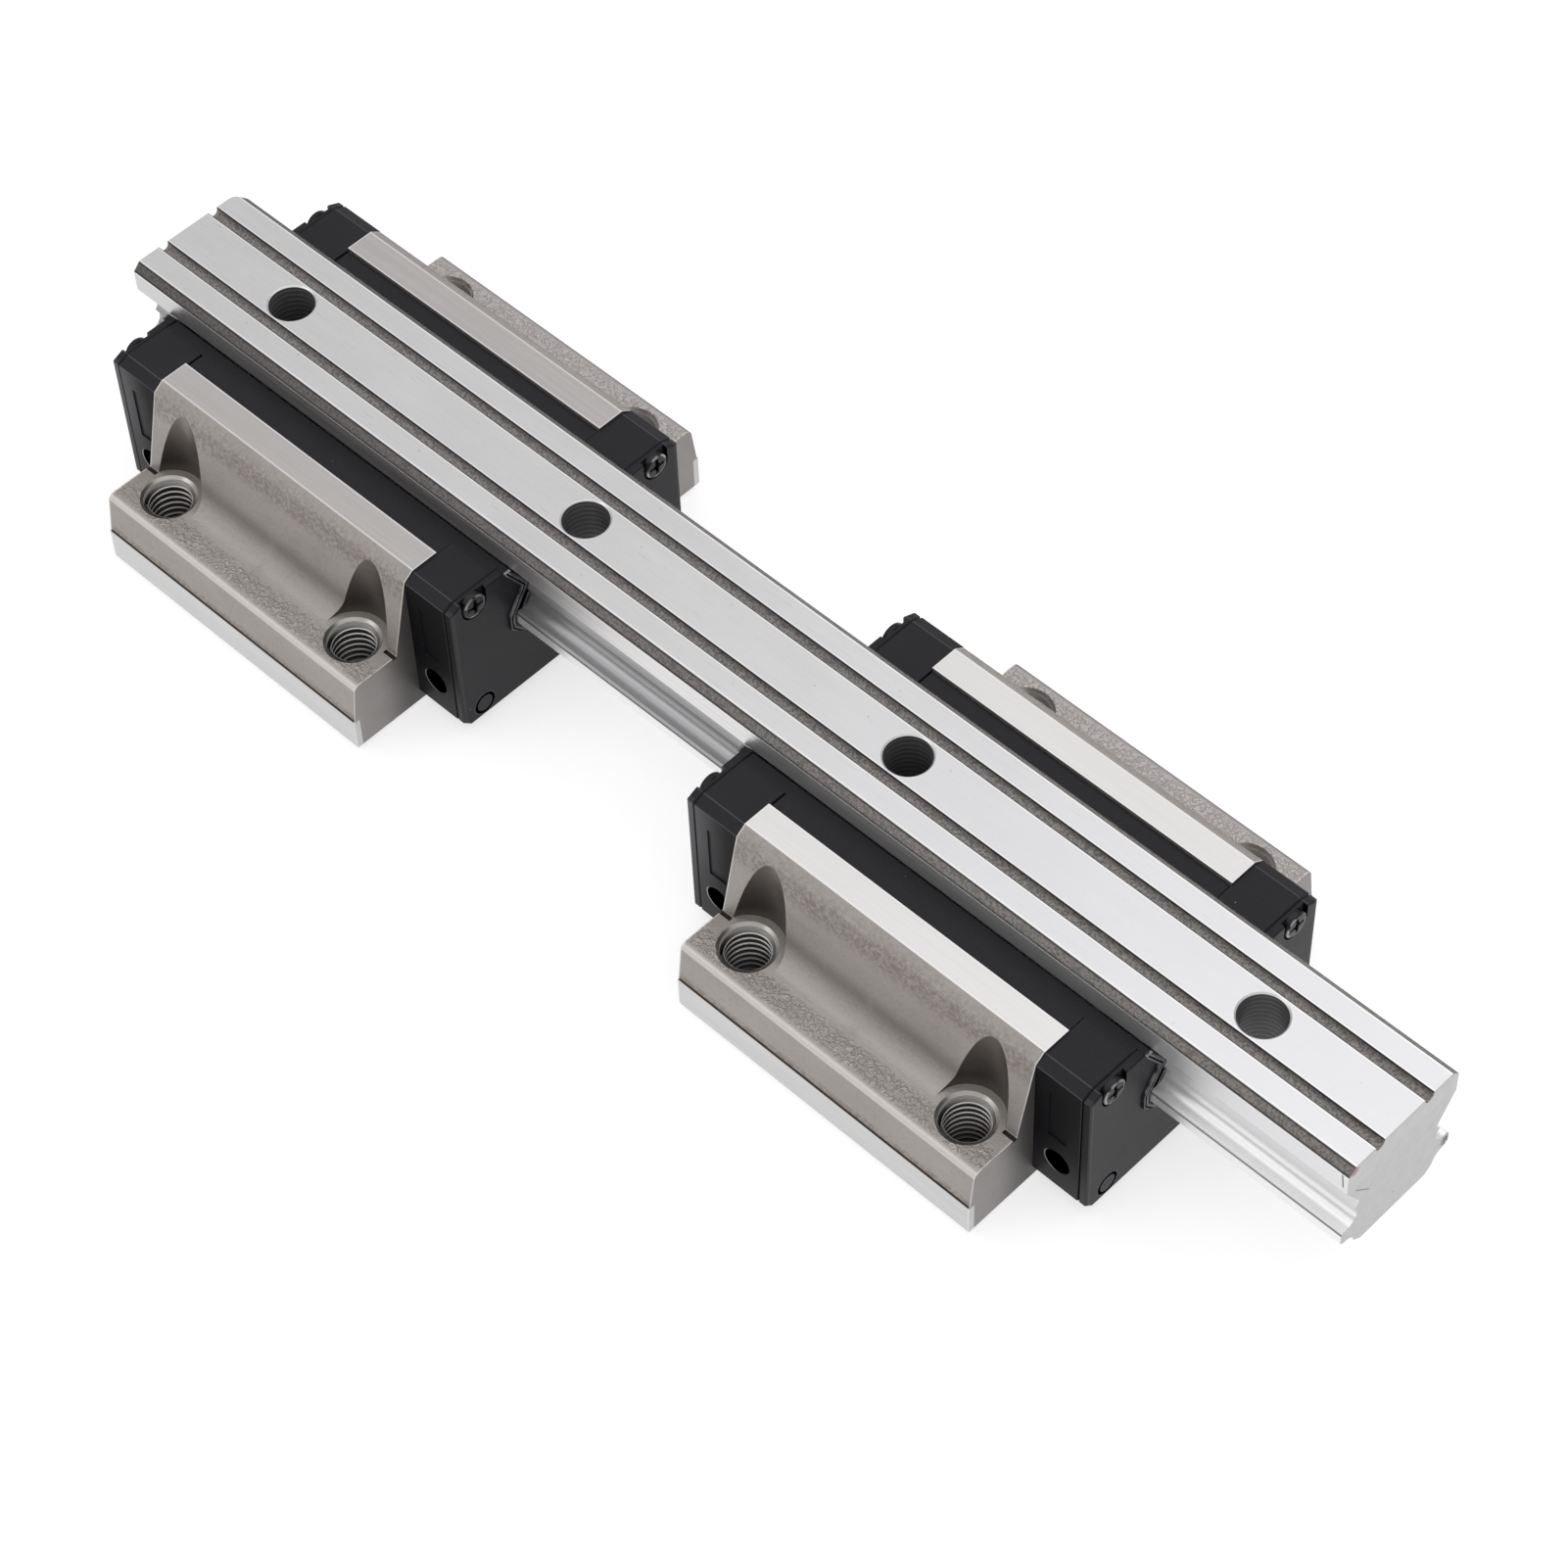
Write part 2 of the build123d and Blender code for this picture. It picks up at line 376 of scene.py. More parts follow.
@dataclass(frozen=True)
class EndSize:
    """Places on an end cap and its seal, in millimetres from the carriage's middle."""

    split_x: float = 45.25
    face_x: float = 47.1
    floor_x: float = 46.1
    screw_y: float = 23.2
    screw_z: float = 32.9
    head_radius: float = 2.75
    top_z: float = 35.5
    top_y: float = 26.55
    side_y: float = 29.0
    shoulder_z: float = 34.4
    mark_y: float = 23.6
    mark_z: float = 5.4
    mark_radius: float = 2.45
    lip_x: float = 47.65
    lip_reach: float = 1.7
    rail_flank: tuple = ((14.0, 40.0), (14.0, 35.6), (9.9, 29.2), (13.95, 22.7), (13.95, 20.5), (11.9, 18.0))
    port_x: float = 40.35
    port_z: float = 11.0
    port_radius: float = 2.7
    lip_ridge: Span = (0.82, 1.02)
    lip_gap: Span = (1.1, 1.38)
    rail_gap: Span = (0.4, 0.5)
    left_x: Span = (-46.0, -36.0)
    sheen_z: Span = (8.0, 24.0)
    shade_z: Span = (4.0, 18.0)


@dataclass(frozen=True)
class RailTones:
    """Colours of the rail, in pairs from dark to light where they vary."""

    ground: Tones = ((0.56, 0.55, 0.545), (0.67, 0.665, 0.67))
    lay: Colour = (0.74, 0.74, 0.745)
    speck: Colour = (0.30, 0.29, 0.28)
    fine_speck: Colour = (0.40, 0.39, 0.38)
    scratch: Colour = (0.42, 0.415, 0.41)
    # Painted light and shade on the base: lighter to the right, painted highlights along its edges, painted shade
    # at the groove edges.
    lit: Colour = (0.86, 0.86, 0.88)
    edge_highlight: Colour = (0.95, 0.94, 0.92)
    groove_edge_shade: Colour = (0.02, 0.02, 0.02)
    flank: Tones = ((0.86, 0.86, 0.87), (1.0, 0.995, 0.99))
    # Painted shade and light on the tracks up to the right carriage, with painted shade lines along their edges.
    waist: Tones = ((0.38, 0.38, 0.385), (0.64, 0.635, 0.64))
    foot: Colour = (0.96, 0.95, 0.95)
    seam: Colour = (0.10, 0.10, 0.105)
    side: Tones = (srgb(168, 164, 163), srgb(214, 211, 210))
    # Painted light on the upright side: lighter from the middle on and at the left end, with a painted highlight
    # along its top edge.
    side_lit: Colour = (0.86, 0.85, 0.85)
    lit_left_end: Colour = (0.60, 0.595, 0.595)
    edge: Colour = (0.90, 0.89, 0.88)
    # Painted shade: the chamfers darker to the left, with painted shade lines on their edges.
    drawn_left: Tones = (srgb(76, 73, 71), srgb(112, 107, 104))
    drawn_right: Tones = (srgb(98, 94, 91), srgb(148, 142, 137))
    chamfer_edge_shade: Colour = (0.012, 0.012, 0.012)
    groove: Tones = (srgb(106, 103, 101), srgb(162, 156, 152))
    # Painted shade line at the groove rims.
    groove_rim_shade: Colour = (0.006, 0.006, 0.007)
    drilled: Tones = (srgb(94, 93, 94), srgb(130, 128, 128))
    # Painted highlight round the mouths of the bolt holes.
    rim: Colour = (0.85, 0.85, 0.85)
    cut: Tones = ((0.45, 0.445, 0.45), (0.60, 0.595, 0.60))
    cut_edge: Colour = srgb(110, 106, 104)
    nick: Colour = srgb(70, 68, 68)
    rust: Colour = srgb(150, 104, 76)
    dirt: Colour = srgb(58, 62, 59)
    crack: Colour = (0.02, 0.02, 0.02)


@dataclass(frozen=True)
class RailPlaces:
    """Where light and wear change on the rail: spans along X, then places on the right end as Y and Z."""

    base_lit: Span = (-60.0, 130.0)
    drawn_lit: Span = (-150.0, 90.0)
    flank_lit: Span = (30.0, 100.0)
    side_shown: Span = (60.0, 140.0)
    side_lit: Span = (-50.0, -5.0)
    lit_left_end: Span = (-126.0, -112.0)
    rust: Span = (-12.6, 40.9)
    dirt: Span = (13.2, 21.6)
    nick: Span = (-0.3, 20.9)


class RailZones:
    """Masks of the rail's surfaces, each 1 on its surface, with the distances they come from."""

    def __init__(self, g: Graph, s: RailSize) -> None:
        """Builds the masks.

        Args:
            g: Graph of the material.
            s: Sizes of the rail.
        """
        pitch, radius, half = s.hole_pitch, s.hole_radius, s.groove_half
        self.ay = abs(g.y)
        self.from_groove = abs(self.ay - s.groove_y)
        self.fold = g.math("FLOORED_MODULO", g.x + 2 * pitch, pitch) - pitch / 2
        self.hole = g.ring(self.fold, g.y)
        self.chamfer_y = s.half_width - s.chamfer
        self.chamfer_z = s.base_z - s.chamfer
        self.near_base = g.rise(g.z, -0.4, -0.3, s.base_z)
        self.top = g.rise(g.z, -0.08, -0.02, s.base_z)
        self.above = g.rise(g.z, -0.05, 0.05, s.side_low)
        self.side = g.rise(self.ay, -0.02, -0.01, s.half_width) & self.above
        self.end = g.rise(abs(g.x), s.length / 2 - 0.06, s.length / 2 - 0.01)
        self.bore = ~g.rise(self.hole, 0.02, 0.1, radius) & ~self.top
        self.rim = g.band(self.hole, 0.0, 0.3, at=radius) & self.near_base
        floor_z = s.base_z - s.groove_depth
        self.groove = ~g.rise(self.from_groove, 0.0, 0.06, half) & ~self.top & g.rise(g.z, 0.0, 0.2, floor_z)
        self.chamfer = (g.rise(self.ay, 0.02, 0.1, self.chamfer_y)
                        & g.rise(g.z, 0.0, 0.08, self.chamfer_z) & ~self.top)


@dataclass(frozen=True)
class RailFinish:
    """Ground rail steel: bright base and tracks, dark drawn grooves and chamfers."""

    size: RailSize
    name: str = Slot.RAIL.value
    tones: RailTones = RailTones()
    places: RailPlaces = RailPlaces()

    def build(self) -> Material:
        """Builds the material."""
        g, s, t, p = Graph(self.name), self.size, self.tones, self.places
        zone = RailZones(g, s)
        grain = g.noise((2.2, 2.2, 2.2), 2.0, 0.6)
        lay = g.noise((0.03, 4.0, 4.0), 3.0, 0.7)
        turns = g.math("SINE", g.z * 5.2 + g.math("ARCTAN2", g.y, zone.fold))
        crack = (g.band(g.x + g.z * 0.12, 153.35, 153.6, 0.1) & g.band(g.z, 36.8, 42.2, 0.3)
                 & ~g.rise(g.y, -13.5, -12.5))
        # Painted highlight along the top edge of the side, under the chamfer.
        edge = g.band(g.z, -0.3, 0.0, at=zone.chamfer_z) & g.rise(zone.ay, -0.05, -0.02, s.half_width)
        colour = g.layers(
            g.mix(zone.above, self.flank(g), self.ground(g, zone, lay)),
            # Painted light on the upright side: its darker tone gives way to the lighter base tone towards the
            # right end.
            (zone.side & ~g.rise(g.x, *p.side_shown), self.side(g)),
            # Painted light: the left end of the side is lighter.
            (zone.side & ~g.rise(g.x, *p.lit_left_end), t.lit_left_end),
            (crack, t.crack),
            (edge * 0.7, t.edge),
            (zone.chamfer, self.chamfer(g, zone, grain)),
            (zone.groove, self.groove(g, zone, grain)),
            (zone.bore, g.mix(g.rise(turns, 0.2, 0.95), *t.drilled)),
            # Painted highlight round the mouth of each bolt hole.
            (zone.rim, t.rim),
            (zone.end, self.cut(g)))
        drawn = zone.groove | zone.chamfer
        rough = g.levels(g.spread(grain, 0.30, 0.42), (~zone.above, 0.29), (drawn, 0.62), (zone.bore, 0.38),
                         (zone.end, 0.42))
        metal = g.levels(0.86, (~zone.above, 0.6), (drawn, 0.45), (zone.bore, 0.3))
        relief = g.levels(g.rise(lay, 0.2, 0.8) * 0.12, (~zone.above, 0.5), (drawn, grain))
        return g.finish(Base_Color=colour, Roughness=rough, Metallic=metal, Normal=g.bump(relief, 0.05))

    def ground(self, g: Graph, zone: RailZones, lay: Value) -> Value:
        """Colour of the ground base: blotches, lay, specks, scratches, painted light that lightens it to the right,
        and painted highlight and shade lines along its edges.
        """
        s, t = self.size, self.tones
        blotch = g.noise((0.05, 0.11, 0.11), 4.0, 0.6)
        specks = ~g.rise(g.cells(0.42), 0.05, 0.14) & g.rise(g.noise((0.6, 0.6, 0.6), 2.0), 0.52, 0.66)
        fine = ~g.rise(g.cells(1.1, 7.0), 0.08, 0.22) & g.rise(g.noise((0.25, 0.4, 0.4), 2.0, shift=1.0), 0.45, 0.6)
        scratch = g.rise(g.noise((0.16, 2.6, 2.6), 1.0, 0.4, shift=5.0), 0.70, 0.76) & g.rise(blotch, 0.42, 0.6)
        # Painted highlights along the groove and chamfer edges of the base.
        edge_highlight = (g.band(zone.from_groove, 0.14, 0.4, at=s.groove_half)
                      | g.band(zone.ay, -0.3, 0.0, at=zone.chamfer_y)) & zone.top
        # Painted shade line on the base at each groove's edge.
        groove_edge_shade = g.band(zone.from_groove, -0.1, 0.12, at=s.groove_half) & zone.top
        return g.layers(
            g.mix(blotch, *t.ground),
            (g.rise(lay, 0.3, 0.75) * 0.3, t.lay),
            (specks * 0.6, t.speck),
            (fine * 0.25, t.fine_speck),
            (scratch * 0.5, t.scratch),
            # Painted light: the ground base lightens towards the right end.
            (g.rise(g.x, *self.places.base_lit) * 0.5, t.lit),
            (edge_highlight * 0.6, t.edge_highlight),
            (groove_edge_shade, t.groove_edge_shade))

    def flank(self, g: Graph) -> Value:
        """Colour of the tracks, with painted shade and reflection: dark at the waist up to the right carriage,
        bright beyond it.
        """
        s, t = self.size, self.tones
        streak = g.noise((0.004, 1.1, 1.1), 2.0, 0.5, shift=2.0)
        dark, light = t.waist
        # Painted shade and reflection up to the right carriage: a dark band at the waist, and painted light on the
        # face below the tip.
        middle = g.layers(light, (g.band(g.z, s.tip_z + 0.6, s.waist_z - 0.8, 1.3), dark),
                          (~g.rise(g.z, -0.1, 0.1, s.tip_z), t.foot))
        # Painted shade lines along the edges at the side's foot and at the tip.
        seam_shades = g.band(g.z, -0.25, 0.05, at=s.side_low) | g.band(g.z, -0.1, 0.3, at=s.tip_z)
        return g.layers(
            g.mix(g.rise(streak, 0.25, 0.75), *t.flank),
            (~g.rise(g.x, *self.places.flank_lit), middle),
            (seam_shades * 0.75, t.seam))

    def side(self, g: Graph) -> Value:
        """Colour of the upright side above the tracks, with painted light that lightens it from the middle on."""
        streak = g.noise((0.01, 2.2, 2.2), 3.0, 0.6, shift=8.0)
        return g.layers(g.mix(g.rise(streak, 0.3, 0.7), *self.tones.side),
                        (g.rise(g.x, *self.places.side_lit) * 0.7, self.tones.side_lit))

    def chamfer(self, g: Graph, zone: RailZones, grain: Value) -> Value:
        """Colour of the drawn chamfers, darker to the left in painted shade, with a painted shade line along each
        edge.
        """
        half_width, t = self.size.half_width, self.tones
        along = g.rise(g.x, *self.places.drawn_lit)
        # Painted shade: the chamfers darken towards the left.
        dark, light = (g.mix(along, *pair) for pair in zip(t.drawn_left, t.drawn_right))
        # Painted shade lines along both edges of each chamfer.
        lines = g.band(zone.ay, 0.0, 0.34, at=zone.chamfer_y) | g.band(zone.ay, -0.3, 0.1, at=half_width)
        return g.layers(g.mix(g.rise(grain, 0.25, 0.75), dark, light), (lines * 0.7, t.chamfer_edge_shade))

    def groove(self, g: Graph, zone: RailZones, grain: Value) -> Value:
        """Colour of the drawn grooves, with a painted shade line at the rim."""
        half, t = self.size.groove_half, self.tones
        # Painted shade line inside each groove's rim.
        line = g.band(zone.from_groove, -0.12, 0.1, at=half) & zone.near_base
        return g.layers(g.mix(g.rise(grain, 0.32, 0.68), *t.groove), (line, t.groove_rim_shade))

    def cut(self, g: Graph) -> Value:
        """Colour of the sawn ends, with the rust, dirt and nicks of the right one."""
        t, p = self.tones, self.places
        right = g.rise(g.x, 0.0, 1.0)

        def spot(place: Span, low: float, high: float) -> Value:
            """Round mask on the end, 1 within low of the place and 0 beyond high."""
            return ~g.rise(g.ring(g.y - place[0], g.z - place[1]), low, high)

        rust = spot(p.rust, 0.5, 1.3) & right
        dirt = spot(p.dirt, 0.9, 1.6) & g.rise(g.noise((1.6, 1.6, 1.6), 2.0), 0.38, 0.50) & right
        line = g.band(g.y + g.z, 22.4, 22.7) & g.band(g.y, -11.6, -7.8, 0.3)
        nicks = (line | spot(p.nick, 0.12, 0.24)) & right
        base_z = self.size.base_z
        return g.layers(
            g.mix(g.noise((0.4, 0.4, 0.4), 4.0, 0.65), *t.cut),
            (g.band(g.z, -0.25, 0.0, at=base_z) * 0.5, t.cut_edge),
            (nicks * 0.8, t.nick),
            (rust * 0.85, t.rust),
            (dirt * 0.85, t.dirt))


@dataclass(frozen=True)
class BlockTones:
    """Colours of a carriage block, in pairs from dark to light where they vary."""

    skin: Tones = (srgb(150, 143, 138), srgb(172, 167, 162))
    sand: Colour = srgb(184, 180, 176)
    coarse: Colour = srgb(124, 118, 112)
    scale: Colour = srgb(116, 107, 99)
    root: Colour = srgb(106, 98, 92)
    # Painted light at the foot of the wall.
    foot: Colour = srgb(196, 191, 186)
    hammer: Colour = srgb(208, 203, 199)
    # Painted light on the far flange.
    lit_far_flange: Colour = srgb(202, 197, 194)
    ground: Tones = ((0.55, 0.545, 0.54), (0.66, 0.655, 0.655))
    # Painted highlight along the leg's edges.
    leg_edge_highlight: Colour = (0.85, 0.84, 0.82)
    end: Tones = (srgb(140, 136, 134), srgb(166, 162, 160))
    # Painted shadow of the caps on the end faces.
    end_shade: Colour = srgb(62, 58, 56)
    end_corner: Colour = srgb(92, 80, 72)
    # Painted shade on the scallop walls, darker near the flange.
    wall: Tones = (srgb(96, 91, 87), srgb(118, 112, 107))
    wall_streak: Colour = srgb(90, 85, 81)
    # Painted highlight on the near rounded flange edge and painted shade on the far one.
    near_edge_highlight: Colour = srgb(222, 218, 213)
    far_edge_shade: Colour = srgb(140, 136, 134)
    # Painted shade in the corner above the datum band.
    step: Colour = srgb(60, 48, 40)
    # Painted highlight along the end edges.
    rim: Colour = srgb(232, 229, 225)
    notch: Colour = srgb(46, 34, 30)
    # Painted light and shade in the bolt holes.
    bore: Tones = (srgb(60, 58, 56), srgb(236, 232, 226))
    mouth: Colour = srgb(196, 192, 187)


class BlockZones:
    """Noises of a block, masks of its surfaces, each 1 on its surface, and the distances they come from."""

    def __init__(self, g: Graph, s: BlockSize, centre_x: float, shift: float) -> None:
        """Builds the masks.

        Args:
            g: Graph of the material.
            s: Sizes of the block.
            centre_x: Middle of the block along X, in millimetres.
            shift: Moves the noises from the other block's.
        """
        self.blotch = g.noise((0.07, 0.1, 0.1), 4.0, 0.6, shift=shift)
        self.sand = g.noise((2.4, 2.4, 2.4), 3.0, 0.65, shift=shift)
        self.coarse = g.noise((1.3, 1.3, 1.3), 2.0, 0.5, 0.6, shift=shift)
        self.ax, self.ay = abs(g.x - centre_x), abs(g.y)
        self.hole = g.ring(self.ax - s.hole_x, self.ay - s.hole_y)
        self.end = g.rise(self.ax, -0.06, -0.01, s.half_length)
        self.band = ~g.rise(g.z, -0.02, 0.02, s.band_top) & g.rise(self.ay, -1.4, -1.2, s.half_width)
        self.leg = g.rise(g.z, -0.06, -0.01, s.leg_z)
        self.scallop = g.band(self.hole, -0.2, 0.03, 0.02, s.scallop_radius) & g.rise(g.z, 0.05, 0.1, s.flange_z)
        mouth_radius, mouth_z = s.hole_radius + s.mouth_break, s.flange_z - s.mouth_break
        self.mouth = ~g.rise(self.hole, -0.02, 0.02, mouth_radius) & g.rise(g.z, 0.0, 0.05, mouth_z)
        self.bore = ~g.rise(self.hole, 0.01, 0.05, s.hole_radius)
        self.step = g.band(g.z, 0.02, 0.36, at=s.band_top) & g.rise(self.ay, -0.5, -0.4, s.half_width)
        self.lip = g.band(g.nz, 0.25, 0.93, 0.1) & g.rise(self.ay, -3.2, -3.0, s.half_width) & ~self.end
        self.rim = g.rise(self.ax, -0.3, -0.15, s.half_length) & ~self.end & g.rise(self.ay, 0.0, 0.1, s.leg_inner)
        notch_x = s.half_length - s.notch_length
        self.notch = (g.rise(self.ax, 0.0, 0.05, notch_x)
                      & g.band(self.ay, s.notch_y - s.notch_half, s.notch_y + s.notch_half, 0.03)
                      & g.band(g.z, -0.5, -0.05, 0.02, s.flange_z))
        self.hammer = g.band(self.ay, *s.hammer_y, 0.8) & g.rise(g.nz, 0.9, 0.95) & g.rise(self.coarse, 0.42, 0.62)


@dataclass(frozen=True)
class BlockFinish:
    """Carriage steel: shot-blasted skin, ground side bands and legs, dark scallops."""

    size: BlockSize
    centre_x: float
    shift: float
    leg: Tones
    name: str = Slot.BLOCK.value
    tones: BlockTones = BlockTones()

    def build(self) -> Material:
        """Builds the material."""
        g, s, t = Graph(self.name), self.size, self.tones
        zone = BlockZones(g, s, self.centre_x, self.shift)
        ground = g.mix(g.noise((0.04, 0.5, 0.5), 3.0, 0.6, shift=self.shift), *t.ground)
        near = ~g.rise(g.y, -1.0, 1.0)
        # Painted light in the bolt holes: light at the mouth, dark deeper down.
        lit = g.rise(g.z, -2.6, -1.0, s.flange_z)
        colour = g.layers(
            self.skin(g, zone),
            # Painted highlight on the rounded flange edge on the near side, painted shade on the far side.
            (zone.lip & near * 0.8, t.near_edge_highlight),
            (zone.lip & ~near, t.far_edge_shade),
            # Painted shade in the corner above the datum band.
            (zone.step, t.step),
            (zone.end, self.end(g, zone)),
            (zone.band, ground),
            (zone.leg, self.leg_face(g, zone)),
            # Painted highlight along the top edges at each end.
            (zone.rim * 0.75, t.rim),
            (zone.notch, t.notch),
            (zone.scallop, self.wall(g)),
            (zone.bore, g.mix(lit, *t.bore)),
            (zone.mouth, t.mouth))
        faces = zone.band | zone.leg
        plain = faces | zone.end | zone.scallop | zone.mouth | zone.bore
        rough = g.levels(g.spread(zone.sand, 0.44, 0.6), (faces, 0.36), (zone.scallop, 0.34), (zone.bore, 0.35),
                         (zone.mouth, 0.29))
        metal = g.levels(0.62, (faces, 0.85), (zone.scallop, 0.8), (zone.bore, 0.2), (zone.mouth, 1.0),
                         (zone.end, 0.6))
        relief = g.levels(zone.sand * 0.5 + zone.coarse * (0.5 + 2.5 * zone.hammer), (plain, 0.5))
        return g.finish(Base_Color=colour, Roughness=rough, Metallic=metal, Normal=g.bump(relief, 0.12))

    def skin(self, g: Graph, zone: BlockZones) -> Value:
        """Colour of the blasted skin: sand, pits, brown scale, the hammered strip along the flange, and painted
        light at the wall's foot and on the far flange.
        """
        s, t = self.size, self.tones
        scale = g.band(g.z, -4.5, 0.4, 1.6, s.shoulder_z) | g.band(g.z, 0.0, 1.6, 0.5, s.band_top)
        root = g.band(zone.ax, 0.0, s.hole_x - 1.0, 2.0) & g.band(g.z, 2.4, 5.5, 1.6, s.flange_z)
        # Painted light on the flange at the foot of the wall, between the holes.
        foot = (g.band(zone.ax, 0.0, s.hole_x - 4.0, 3.0) & g.band(zone.ay, *s.foot_y, 1.2)
                & ~g.rise(g.z, 0.6, 1.4, s.flange_z))
        # Painted light: the flange on the far side is lighter.
        lit_far_flange = g.rise(g.y, *s.far_y) & ~g.rise(g.z, 0.5, 2.0, s.flange_z) * 0.6
        return g.layers(
            g.mix(zone.blotch, *t.skin),
            (g.rise(zone.sand, 0.35, 0.75) * 0.3, t.sand),
            (g.rise(zone.coarse, 0.50, 0.80) * 0.22, t.coarse),
            (scale & g.rise(zone.coarse, 0.30, 0.65) * 0.6, t.scale),
            (root * 0.35, t.root),
            (foot * 0.45, t.foot),
            (zone.hammer * 0.35, t.hammer),
            (lit_far_flange, t.lit_far_flange))

    def end(self, g: Graph, zone: BlockZones) -> Value:
        """Colour of the end faces, dark towards the rail in a painted shadow of the caps, and dark at the datum
        band's corner.
        """
        s, t = self.size, self.tones
        corner = g.band(zone.ay, -0.4, 0.1, at=s.half_width) & ~g.rise(g.z, 0.0, 0.1, s.band_top)
        return g.layers(
            g.mix(zone.blotch, *t.end),
            # Painted shadow of the caps, towards the rail.
            (g.rise(zone.ay, *s.end_shade_y) * 0.7, t.end_shade),
            (corner * 0.7, t.end_corner))

    def leg_face(self, g: Graph, zone: BlockZones) -> Value:
        """Colour of the ground leg faces, with a painted highlight along each edge."""
        s = self.size
        lines = g.band(zone.ay, 0.0, 0.3, at=s.leg_inner) | g.band(zone.ay, -0.3, 0.0, at=s.leg_outer)
        return g.layers(g.mix(g.noise((0.03, 1.4, 1.4), 3.0, 0.6, shift=self.shift), *self.leg),
                        (lines * 0.6, self.tones.leg_edge_highlight))

    def wall(self, g: Graph) -> Value:
        """Colour of the scallop walls, in painted shade that lightens towards the leg, with faint rings."""
        s, t = self.size, self.tones
        rings = g.rise(g.noise((0.3, 0.3, 4.0), 2.0, 0.6), 0.4, 0.7)
        # Painted shade: the walls are darker near the flange.
        return g.layers(g.mix(g.rise(g.z, s.flange_z, s.leg_z - 4.0), *t.wall), (rings * 0.35, t.wall_streak))


@dataclass(frozen=True)
class ThreadFinish:
    """Cut thread ridges in painted light and shade: light crests on dark flanks, crests darker deeper down, the
    first flank lit.
    """

    size: BlockSize
    centre_x: float
    name: str = "thread_steel"
    # Painted shade on the flanks and painted light on the first one; the crests darker deeper down.
    flank: Tones = ((0.006, 0.006, 0.006), (0.03, 0.028, 0.026))
    first_flank: Colour = (0.20, 0.195, 0.19)
    crest: Tones = (srgb(46, 45, 44), srgb(214, 211, 207))

    def build(self) -> Material:
        """Builds the material."""
        g, s = Graph(self.name), self.size
        hole = g.ring(abs(g.x - self.centre_x) - s.hole_x, abs(g.y) - s.hole_y)
        grain = g.noise((3.0, 3.0, 3.0), 2.0, 0.6)
        # Painted shade on the flanks, with painted light on the first flank at the mouth.
        flank = g.layers(g.mix(grain, *self.flank),
                         (g.rise(g.z, -2.0, -1.3, s.flange_z), self.first_flank))
        # Painted shade: the crests darken deeper in the hole.
        crest = g.mix(g.rise(g.z, -13.0, -2.0, s.flange_z), *self.crest)
        top = g.rise(hole, 0.22, 0.04, s.crest_radius)
        return g.finish(Base_Color=g.mix(top, flank, crest), Roughness=g.spread(grain, 0.30, 0.42),
                        Metallic=g.spread(top, 1.0, 0.6), Normal=g.bump(grain, 0.02))


@dataclass(frozen=True)
class PlasticTones:
    """Light marks on the black mouldings: dust, the lip's own tone, painted highlights and painted sheen."""

    dust: Colour = (0.35, 0.35, 0.36)
    # Painted highlights on the edges, on the seal's upright edge and on the lip's corner, sides and ridges; the lip
    # itself has its own tone.
    edge: Colour = (0.10, 0.10, 0.105)
    upright: Colour = (0.045, 0.045, 0.047)
    lip: Colour = (0.055, 0.055, 0.058)
    lip_corner_glint: Colour = (0.42, 0.42, 0.43)
    lip_side_glint: Colour = (0.30, 0.30, 0.31)
    ridge: Colour = (0.24, 0.24, 0.25)
    # Painted highlight on the port's rim.
    port_rim_glint: Colour = (0.5, 0.5, 0.5)
    # Painted light on the left caps' sides.
    sheen: Colour = (0.085, 0.085, 0.09)


